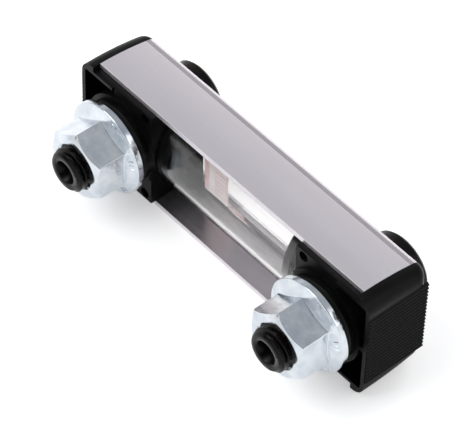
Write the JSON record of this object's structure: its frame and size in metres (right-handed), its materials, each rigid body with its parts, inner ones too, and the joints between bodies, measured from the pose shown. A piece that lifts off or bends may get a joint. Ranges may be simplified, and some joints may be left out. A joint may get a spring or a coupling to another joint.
{
  "type": "tank level gauge",
  "caption": "Column level gauge for a hydraulic tank: aluminium cover with a window, clear sight glass, black end blocks and hollow screws with flange nuts.",
  "frame": {"origin": "midway between the axes of the two hollow screws, on the back plane of the end blocks, which faces the tank", "axes": "+X along the column to its lower end in use, +Y away from the tank to the viewer's side, +Z across the column; the gauge lies on the side wall that faces -Z"},
  "size_m": [0.108, 0.0448, 0.034],
  "materials": {
    "anodised_cover": "satin anodised, fine lengthwise drawing lines",
    "clear_plastic": "clear moulded plastic",
    "printed_label": "white foil with plain red bars, no words",
    "black_moulding": "black glass filled nylon, half matt",
    "seal_rubber": "black nitrile rubber",
    "tank_seal_rubber": "black nitrile rubber with moulding line",
    "black_steel": "blackened steel, slightly oily",
    "zinc_plate": "bright zinc plate"
  },
  "bodies": {
    "root": {"cover_profile": "anodised_cover", "sight_glass": "clear_plastic", "level_label": "printed_label", "lower_end_block": "black_moulding", "lower_glass_seal": "seal_rubber", "lower_hollow_screw": "black_steel", "lower_head_seal": "seal_rubber", "lower_tank_seal": "tank_seal_rubber", "lower_flange_nut": "zinc_plate", "upper_end_block": "black_moulding", "upper_glass_seal": "seal_rubber", "upper_hollow_screw": "black_steel", "upper_head_seal": "seal_rubber", "upper_tank_seal": "tank_seal_rubber", "upper_flange_nut": "zinc_plate"}
  },
  "joints": []
}
